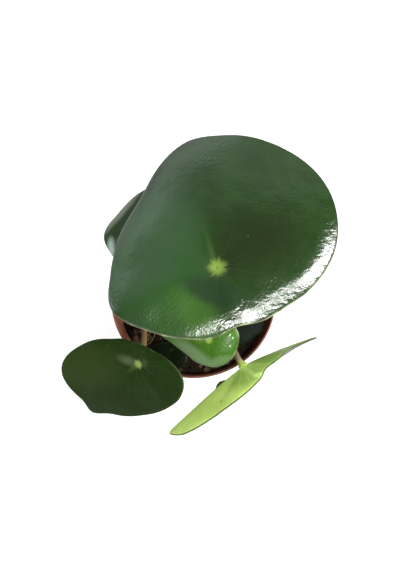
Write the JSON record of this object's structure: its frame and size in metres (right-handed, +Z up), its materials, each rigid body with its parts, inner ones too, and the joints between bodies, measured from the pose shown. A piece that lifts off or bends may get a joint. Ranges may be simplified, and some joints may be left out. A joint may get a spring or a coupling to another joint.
{
  "type": "potted plant",
  "caption": "Potted peperomia: round glossy leaves on stalks that spread from a short stem in a small tapered plastic pot of soil.",
  "frame": {"origin": "centre of the pot's underside", "axes": "+Z up, -Y to the front, +X to the right seen from the front"},
  "size_m": [0.1406, 0.1328, 0.1735],
  "materials": {
    "pot_plastic": "smooth matte moulded plastic, terracotta colour",
    "soil": "dark crumbly peat",
    "stem": "firm brown-green stem",
    "stalk": "smooth fleshy stalk, pinkish brown to green",
    "leaf_dark": "thick glossy dark green leaf",
    "leaf_bright": "thick glossy bright green leaf",
    "leaf_underside": "smooth pale lime green leaf, seen from its underside"
  },
  "bodies": {
    "root": {"pot": "pot_plastic", "soil": "soil", "stem": "stem", "top_leaf_stalk": "stalk", "top_leaf_blade": "leaf_dark", "back_left_leaf_stalk": "stalk", "back_left_leaf_blade": "leaf_dark", "small_front_leaf_stalk": "stalk", "small_front_leaf_blade": "leaf_bright", "front_left_leaf_stalk": "stalk", "front_left_leaf_blade": "leaf_dark", "hanging_leaf_stalk": "stalk", "hanging_leaf_blade": "leaf_underside", "low_front_leaf_stalk": "stalk", "low_front_leaf_blade": "leaf_dark", "low_right_leaf_stalk": "stalk", "low_right_leaf_blade": "leaf_dark"}
  },
  "joints": []
}
